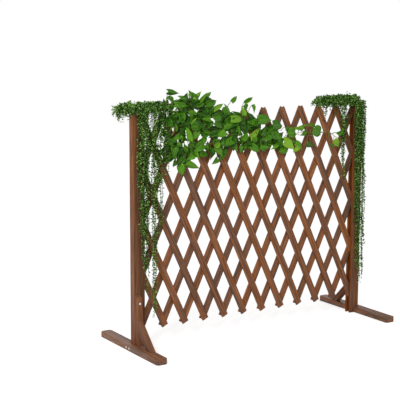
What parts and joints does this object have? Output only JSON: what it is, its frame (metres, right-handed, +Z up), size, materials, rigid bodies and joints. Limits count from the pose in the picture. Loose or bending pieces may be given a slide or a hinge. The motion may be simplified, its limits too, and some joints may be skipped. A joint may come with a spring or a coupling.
{
  "type": "expandable wooden fence",
  "caption": "Free-standing expandable fence: a scissor lattice of riveted wooden slats between two grooved posts on braced feet, dressed with leafy vines.",
  "frame": {"origin": "on the floor under the middle of the fence when it is pulled out", "axes": "+X along the fence towards the right post, -Y to the front as shown, +Z up"},
  "size_m": [1.1414, 0.45, 0.958],
  "materials": {
    "stained_wood": "reddish-brown stain, matt",
    "slat_wood": "reddish-brown stain, matt",
    "rivet_steel": "browned",
    "white_screw": "white zinc",
    "small_leaf_vine": "matt artificial leaves",
    "broad_leaf_garland": "satin artificial leaves"
  },
  "bodies": {
    "left_end": {"left_post": "stained_wood", "left_foot": "stained_wood", "left_post_block": "stained_wood", "left_brace": "stained_wood", "left_screws": "white_screw", "left_hinge_pin": "rivet_steel", "left_hanging_vine": "small_leaf_vine"},
    "front_slat_01": {"front_slat_01": "slat_wood", "slat_rivets_01": "rivet_steel"},
    "front_slat_02": {"front_slat_02": "slat_wood", "slat_rivets_02": "rivet_steel"},
    "front_slat_03": {"front_slat_03": "slat_wood", "slat_rivets_03": "rivet_steel"},
    "front_slat_04": {"front_slat_04": "slat_wood", "slat_rivets_04": "rivet_steel"},
    "front_slat_05": {"front_slat_05": "slat_wood", "slat_rivets_05": "rivet_steel"},
    "front_slat_06": {"front_slat_06": "slat_wood", "slat_rivets_06": "rivet_steel", "leaf_garland_1": "broad_leaf_garland"},
    "front_slat_07": {"front_slat_07": "slat_wood", "slat_rivets_07": "rivet_steel"},
    "front_slat_08": {"front_slat_08": "slat_wood", "slat_rivets_08": "rivet_steel", "leaf_garland_2": "broad_leaf_garland"},
    "front_slat_09": {"front_slat_09": "slat_wood", "slat_rivets_09": "rivet_steel"},
    "front_slat_10": {"front_slat_10": "slat_wood", "slat_rivets_10": "rivet_steel", "leaf_garland_3": "broad_leaf_garland"},
    "front_slat_11": {"front_slat_11": "slat_wood", "slat_rivets_11": "rivet_steel"},
    "front_slat_12": {"front_slat_12": "slat_wood", "slat_rivets_12": "rivet_steel", "leaf_garland_4": "broad_leaf_garland"},
    "front_slat_13": {"front_slat_13": "slat_wood", "slat_rivets_13": "rivet_steel"},
    "front_slat_14": {"front_slat_14": "slat_wood", "slat_rivets_14": "rivet_steel"},
    "back_slat_01": {"back_slat_01": "slat_wood"},
    "back_slat_02": {"back_slat_02": "slat_wood"},
    "back_slat_03": {"back_slat_03": "slat_wood"},
    "back_slat_04": {"back_slat_04": "slat_wood"},
    "back_slat_05": {"back_slat_05": "slat_wood"},
    "back_slat_06": {"back_slat_06": "slat_wood"},
    "back_slat_07": {"back_slat_07": "slat_wood"},
    "back_slat_08": {"back_slat_08": "slat_wood"},
    "back_slat_09": {"back_slat_09": "slat_wood"},
    "back_slat_10": {"back_slat_10": "slat_wood"},
    "back_slat_11": {"back_slat_11": "slat_wood"},
    "back_slat_12": {"back_slat_12": "slat_wood"},
    "back_slat_13": {"back_slat_13": "slat_wood"},
    "back_slat_14": {"back_slat_14": "slat_wood"},
    "right_end": {"right_post": "stained_wood", "right_foot": "stained_wood", "right_post_block": "stained_wood", "right_brace": "stained_wood", "right_screws": "white_screw", "right_hinge_pin": "rivet_steel", "right_hanging_vine": "small_leaf_vine"}
  },
  "joints": [
    {"name": "expand", "type": "hinge", "parent": "left_end", "child": "back_slat_04", "pos_m": [-0.50672, 0, 0.0885], "axis": [0, -1, 0], "range_deg": [0, 17.3], "deforming": ["left_hanging_vine", "right_hanging_vine", "leaf_garland_1", "leaf_garland_2", "leaf_garland_3", "leaf_garland_4"]},
    {"name": "rivet_back_slat_04_to_front_slat_01", "type": "hinge", "parent": "back_slat_04", "child": "front_slat_01", "pos_m": [-0.46065, 0, 0.18729], "axis": [0, 1, 0], "range_deg": [0, 34.6]},
    {"name": "rivet_back_slat_04_to_front_slat_02", "type": "hinge", "parent": "back_slat_04", "child": "front_slat_02", "pos_m": [-0.41459, 0, 0.28608], "axis": [0, 1, 0], "range_deg": [0, 34.6]},
    {"name": "rivet_back_slat_04_to_front_slat_03", "type": "hinge", "parent": "back_slat_04", "child": "front_slat_03", "pos_m": [-0.36852, 0, 0.38486], "axis": [0, 1, 0], "range_deg": [0, 34.6]},
    {"name": "rivet_back_slat_04_to_front_slat_04", "type": "hinge", "parent": "back_slat_04", "child": "front_slat_04", "pos_m": [-0.32246, 0, 0.48365], "axis": [0, 1, 0], "range_deg": [0, 34.6]},
    {"name": "rivet_back_slat_04_to_front_slat_05", "type": "hinge", "parent": "back_slat_04", "child": "front_slat_05", "pos_m": [-0.27639, 0, 0.58244], "axis": [0, 1, 0], "range_deg": [0, 34.6]},
    {"name": "rivet_back_slat_04_to_front_slat_06", "type": "hinge", "parent": "back_slat_04", "child": "front_slat_06", "pos_m": [-0.23033, 0, 0.68122], "axis": [0, 1, 0], "range_deg": [0, 34.6]},
    {"name": "rivet_back_slat_04_to_front_slat_07", "type": "hinge", "parent": "back_slat_04", "child": "front_slat_07", "pos_m": [-0.18426, 0, 0.78001], "axis": [0, 1, 0], "range_deg": [0, 34.6]},
    {"name": "rivet_back_slat_04_to_front_slat_08", "type": "hinge", "parent": "back_slat_04", "child": "front_slat_08", "pos_m": [-0.1382, 0, 0.8788], "axis": [0, 1, 0], "range_deg": [0, 34.6]},
    {"name": "rivet_front_slat_01_to_back_slat_05", "type": "hinge", "parent": "front_slat_01", "child": "back_slat_05", "pos_m": [-0.41459, 0, 0.0885], "axis": [0, -1, 0], "range_deg": [0, 34.6]},
    {"name": "rivet_front_slat_01_to_back_slat_03", "type": "hinge", "parent": "front_slat_01", "child": "back_slat_03", "pos_m": [-0.50672, 0, 0.28608], "axis": [0, -1, 0], "range_deg": [0, 34.6]},
    {"name": "rivet_front_slat_02_to_back_slat_06", "type": "hinge", "parent": "front_slat_02", "child": "back_slat_06", "pos_m": [-0.32246, 0, 0.0885], "axis": [0, -1, 0], "range_deg": [0, 34.6]},
    {"name": "rivet_front_slat_02_to_back_slat_02", "type": "hinge", "parent": "front_slat_02", "child": "back_slat_02", "pos_m": [-0.50672, 0, 0.48365], "axis": [0, -1, 0], "range_deg": [0, 34.6]},
    {"name": "rivet_front_slat_03_to_back_slat_07", "type": "hinge", "parent": "front_slat_03", "child": "back_slat_07", "pos_m": [-0.23033, 0, 0.0885], "axis": [0, -1, 0], "range_deg": [0, 34.6]},
    {"name": "rivet_front_slat_03_to_back_slat_01", "type": "hinge", "parent": "front_slat_03", "child": "back_slat_01", "pos_m": [-0.50672, 0, 0.68122], "axis": [0, -1, 0], "range_deg": [0, 34.6]},
    {"name": "rivet_front_slat_04_to_back_slat_08", "type": "hinge", "parent": "front_slat_04", "child": "back_slat_08", "pos_m": [-0.1382, 0, 0.0885], "axis": [0, -1, 0], "range_deg": [0, 34.6]},
    {"name": "rivet_front_slat_05_to_back_slat_09", "type": "hinge", "parent": "front_slat_05", "child": "back_slat_09", "pos_m": [-0.04607, 0, 0.0885], "axis": [0, -1, 0], "range_deg": [0, 34.6]},
    {"name": "rivet_front_slat_06_to_back_slat_10", "type": "hinge", "parent": "front_slat_06", "child": "back_slat_10", "pos_m": [0.04607, 0, 0.0885], "axis": [0, -1, 0], "range_deg": [0, 34.6]},
    {"name": "rivet_front_slat_07_to_back_slat_11", "type": "hinge", "parent": "front_slat_07", "child": "back_slat_11", "pos_m": [0.1382, 0, 0.0885], "axis": [0, -1, 0], "range_deg": [0, 34.6]},
    {"name": "rivet_front_slat_08_to_back_slat_12", "type": "hinge", "parent": "front_slat_08", "child": "back_slat_12", "pos_m": [0.23033, 0, 0.0885], "axis": [0, -1, 0], "range_deg": [0, 34.6]},
    {"name": "rivet_back_slat_05_to_front_slat_09", "type": "hinge", "parent": "back_slat_05", "child": "front_slat_09", "pos_m": [-0.04607, 0, 0.8788], "axis": [0, 1, 0], "range_deg": [0, 34.6]},
    {"name": "rivet_back_slat_06_to_front_slat_10", "type": "hinge", "parent": "back_slat_06", "child": "front_slat_10", "pos_m": [0.04607, 0, 0.8788], "axis": [0, 1, 0], "range_deg": [0, 34.6]},
    {"name": "rivet_back_slat_07_to_front_slat_11", "type": "hinge", "parent": "back_slat_07", "child": "front_slat_11", "pos_m": [0.1382, 0, 0.8788], "axis": [0, 1, 0], "range_deg": [0, 34.6]},
    {"name": "rivet_back_slat_08_to_front_slat_12", "type": "hinge", "parent": "back_slat_08", "child": "front_slat_12", "pos_m": [0.23033, 0, 0.8788], "axis": [0, 1, 0], "range_deg": [0, 34.6]},
    {"name": "rivet_back_slat_09_to_front_slat_13", "type": "hinge", "parent": "back_slat_09", "child": "front_slat_13", "pos_m": [0.32246, 0, 0.8788], "axis": [0, 1, 0], "range_deg": [0, 34.6]},
    {"name": "rivet_back_slat_10_to_front_slat_14", "type": "hinge", "parent": "back_slat_10", "child": "front_slat_14", "pos_m": [0.41459, 0, 0.8788], "axis": [0, 1, 0], "range_deg": [0, 34.6]},
    {"name": "rivet_front_slat_09_to_back_slat_13", "type": "hinge", "parent": "front_slat_09", "child": "back_slat_13", "pos_m": [0.32246, 0, 0.0885], "axis": [0, -1, 0], "range_deg": [0, 34.6]},
    {"name": "rivet_front_slat_10_to_back_slat_14", "type": "hinge", "parent": "front_slat_10", "child": "back_slat_14", "pos_m": [0.41459, 0, 0.0885], "axis": [0, -1, 0], "range_deg": [0, 34.6]},
    {"name": "right_post_hinge", "type": "hinge", "parent": "front_slat_11", "child": "right_end", "pos_m": [0.50672, 0, 0.0885], "axis": [0, -1, 0], "range_deg": [0, 17.3]}
  ],
  "couplings": [
    {"joint": "rivet_back_slat_04_to_front_slat_01", "follows": "expand", "ratio": 2},
    {"joint": "rivet_back_slat_04_to_front_slat_02", "follows": "expand", "ratio": 2},
    {"joint": "rivet_back_slat_04_to_front_slat_03", "follows": "expand", "ratio": 2},
    {"joint": "rivet_back_slat_04_to_front_slat_04", "follows": "expand", "ratio": 2},
    {"joint": "rivet_back_slat_04_to_front_slat_05", "follows": "expand", "ratio": 2},
    {"joint": "rivet_back_slat_04_to_front_slat_06", "follows": "expand", "ratio": 2},
    {"joint": "rivet_back_slat_04_to_front_slat_07", "follows": "expand", "ratio": 2},
    {"joint": "rivet_back_slat_04_to_front_slat_08", "follows": "expand", "ratio": 2},
    {"joint": "rivet_front_slat_01_to_back_slat_05", "follows": "expand", "ratio": 2},
    {"joint": "rivet_front_slat_01_to_back_slat_03", "follows": "expand", "ratio": 2},
    {"joint": "rivet_front_slat_02_to_back_slat_06", "follows": "expand", "ratio": 2},
    {"joint": "rivet_front_slat_02_to_back_slat_02", "follows": "expand", "ratio": 2},
    {"joint": "rivet_front_slat_03_to_back_slat_07", "follows": "expand", "ratio": 2},
    {"joint": "rivet_front_slat_03_to_back_slat_01", "follows": "expand", "ratio": 2},
    {"joint": "rivet_front_slat_04_to_back_slat_08", "follows": "expand", "ratio": 2},
    {"joint": "rivet_front_slat_05_to_back_slat_09", "follows": "expand", "ratio": 2},
    {"joint": "rivet_front_slat_06_to_back_slat_10", "follows": "expand", "ratio": 2},
    {"joint": "rivet_front_slat_07_to_back_slat_11", "follows": "expand", "ratio": 2},
    {"joint": "rivet_front_slat_08_to_back_slat_12", "follows": "expand", "ratio": 2},
    {"joint": "rivet_back_slat_05_to_front_slat_09", "follows": "expand", "ratio": 2},
    {"joint": "rivet_back_slat_06_to_front_slat_10", "follows": "expand", "ratio": 2},
    {"joint": "rivet_back_slat_07_to_front_slat_11", "follows": "expand", "ratio": 2},
    {"joint": "rivet_back_slat_08_to_front_slat_12", "follows": "expand", "ratio": 2},
    {"joint": "rivet_back_slat_09_to_front_slat_13", "follows": "expand", "ratio": 2},
    {"joint": "rivet_back_slat_10_to_front_slat_14", "follows": "expand", "ratio": 2},
    {"joint": "rivet_front_slat_09_to_back_slat_13", "follows": "expand", "ratio": 2},
    {"joint": "rivet_front_slat_10_to_back_slat_14", "follows": "expand", "ratio": 2},
    {"joint": "right_post_hinge", "follows": "expand", "ratio": 1}
  ]
}
